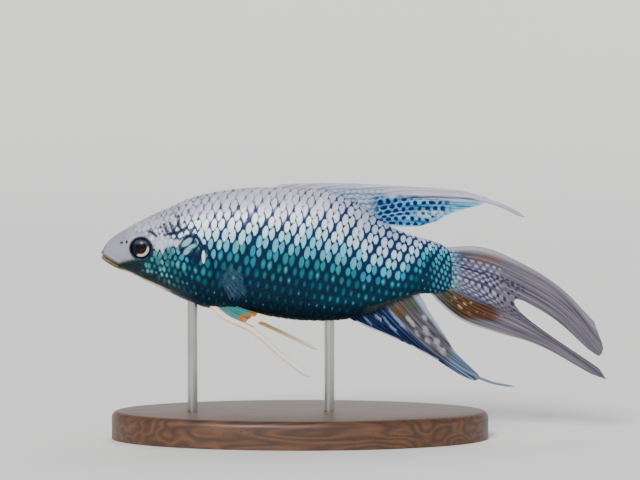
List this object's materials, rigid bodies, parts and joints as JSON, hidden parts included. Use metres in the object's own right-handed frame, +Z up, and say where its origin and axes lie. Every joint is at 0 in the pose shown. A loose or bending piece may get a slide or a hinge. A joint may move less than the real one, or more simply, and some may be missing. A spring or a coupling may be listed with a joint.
{
  "type": "paradise fish",
  "caption": "Life-size still model of a paradise fish gliding with folded fins and a forked trailing tail, held over an oval plinth by upright rods.",
  "frame": {"origin": "centre of the plinth's underside, on the floor", "axes": "+X from the head towards the tail, +Z up, +Y to the fish's right flank; the left flank faces -Y"},
  "size_m": [0.0917, 0.036, 0.0461],
  "materials": {
    "head_skin": "moist skin, lavender grey on the forehead and dark teal on the cheek",
    "jaw_skin": "moist skin, yellowish brown",
    "gill_cover_skin": "moist skin with teal scales and a dark spot at its rear edge",
    "trunk_skin": "overlapping scales, pale cyan centres in a dark blue net",
    "eye": "glossy, slate iris round a black pupil",
    "dorsal_fin_skin": "thin membrane with dark blue dots in rows",
    "anal_fin_skin": "thin membrane, dark navy with pale streaks",
    "caudal_fin_skin": "thin membrane, lavender grey with dark dots and an orange-brown zone",
    "pelvic_fin_skin": "thin membrane, pinkish white and orange",
    "pectoral_fin_skin": "clear membrane with faint pale blue rays",
    "walnut": "oiled dark walnut",
    "steel": "fine brushed"
  },
  "bodies": {
    "root": {"head": "head_skin", "lower_jaw": "jaw_skin", "gill_cover_left": "gill_cover_skin", "gill_cover_right": "gill_cover_skin", "trunk": "trunk_skin", "tail_root": "trunk_skin", "eye_left": "eye", "eye_right": "eye", "dorsal_fin": "dorsal_fin_skin", "anal_fin": "anal_fin_skin", "caudal_fin": "caudal_fin_skin", "pelvic_fin_left": "pelvic_fin_skin", "pelvic_fin_right": "pelvic_fin_skin", "pectoral_fin_left": "pectoral_fin_skin", "pectoral_fin_right": "pectoral_fin_skin", "stand_plinth": "walnut", "stand_rod_front": "steel", "stand_rod_rear": "steel"}
  },
  "joints": []
}
